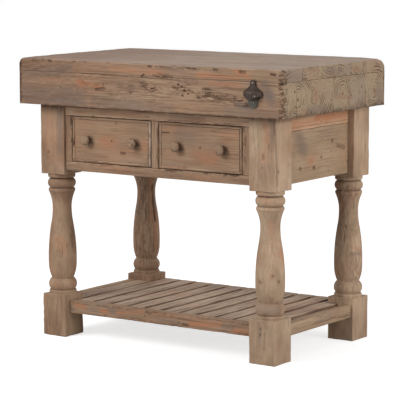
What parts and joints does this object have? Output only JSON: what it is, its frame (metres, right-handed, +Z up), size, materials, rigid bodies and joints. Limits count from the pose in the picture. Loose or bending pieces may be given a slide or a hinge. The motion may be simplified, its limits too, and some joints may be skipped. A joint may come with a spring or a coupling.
{
  "type": "kitchen island",
  "caption": "Free-standing kitchen island with a thick block worktop, turned legs, sliding dovetailed drawers, a slatted lower shelf and a bottle opener on the front edge.",
  "frame": {"origin": "on the floor, under the centre of the island's footprint, the bottle opener's projection included", "axes": "+X to the right along the front, -Y out of the drawer fronts, +Z up"},
  "size_m": [1.01, 0.624, 0.9],
  "materials": {
    "worktop": "matt weathered pine, worn and knotty",
    "block": "matt weathered pine with rough end grain",
    "leg": "matt weathered pine, turned",
    "front_frame": "matt weathered pine",
    "apron": "matt weathered pine",
    "inner_pine": "plain sawn pine",
    "drawer_front": "matt weathered pine",
    "drawer_bead": "matt weathered pine",
    "drawer_box": "plain planed pine",
    "knob": "matt turned pine",
    "shelf_rail": "matt weathered pine with paint residue",
    "slat": "matt weathered pine",
    "opener_iron": "aged brown cast iron",
    "screw_steel": "dull steel"
  },
  "bodies": {
    "frame": {"top_board_1": "worktop", "top_board_2": "worktop", "top_board_3": "worktop", "top_board_4": "worktop", "top_board_5": "worktop", "top_board_6": "worktop", "core_timber_1": "block", "core_timber_2": "block", "core_timber_3": "block", "core_timber_4": "block", "core_timber_5": "block", "core_timber_6": "block", "core_timber_7": "block", "leg_front_left": "leg", "leg_front_right": "leg", "leg_back_left": "leg", "leg_back_right": "leg", "front_top_rail": "front_frame", "front_bottom_rail": "front_frame", "front_stile_left": "front_frame", "front_stile_right": "front_frame", "front_divider": "front_frame", "left_apron_upper": "apron", "left_apron_lower": "apron", "right_apron_upper": "apron", "right_apron_lower": "apron", "back_apron_upper": "apron", "back_apron_lower": "apron", "runner_left": "inner_pine", "runner_centre": "inner_pine", "runner_right": "inner_pine", "kicker_left": "inner_pine", "kicker_centre": "inner_pine", "kicker_right": "inner_pine", "drawer_stops": "inner_pine", "top_screws": "screw_steel", "shelf_front_rail": "shelf_rail", "shelf_back_rail": "shelf_rail", "shelf_rail_left": "shelf_rail", "shelf_rail_right": "shelf_rail", "shelf_bearers": "inner_pine", "shelf_slats": "slat", "bottle_opener": "opener_iron", "opener_screws": "screw_steel"},
    "left_drawer": {"left_drawer_front": "drawer_front", "left_drawer_bead": "drawer_bead", "left_drawer_side_left": "drawer_box", "left_drawer_side_right": "drawer_box", "left_drawer_back": "drawer_box", "left_drawer_bottom": "drawer_box", "left_drawer_knob_left": "knob", "left_drawer_knob_right": "knob"},
    "right_drawer": {"right_drawer_front": "drawer_front", "right_drawer_bead": "drawer_bead", "right_drawer_side_left": "drawer_box", "right_drawer_side_right": "drawer_box", "right_drawer_back": "drawer_box", "right_drawer_bottom": "drawer_box", "right_drawer_knob_left": "knob", "right_drawer_knob_right": "knob"}
  },
  "joints": [
    {"name": "left_drawer_slide", "type": "slide", "parent": "frame", "child": "left_drawer", "axis": [0, -1, 0], "range_m": [0, 0.36]},
    {"name": "right_drawer_slide", "type": "slide", "parent": "frame", "child": "right_drawer", "axis": [0, -1, 0], "range_m": [0, 0.36]}
  ]
}
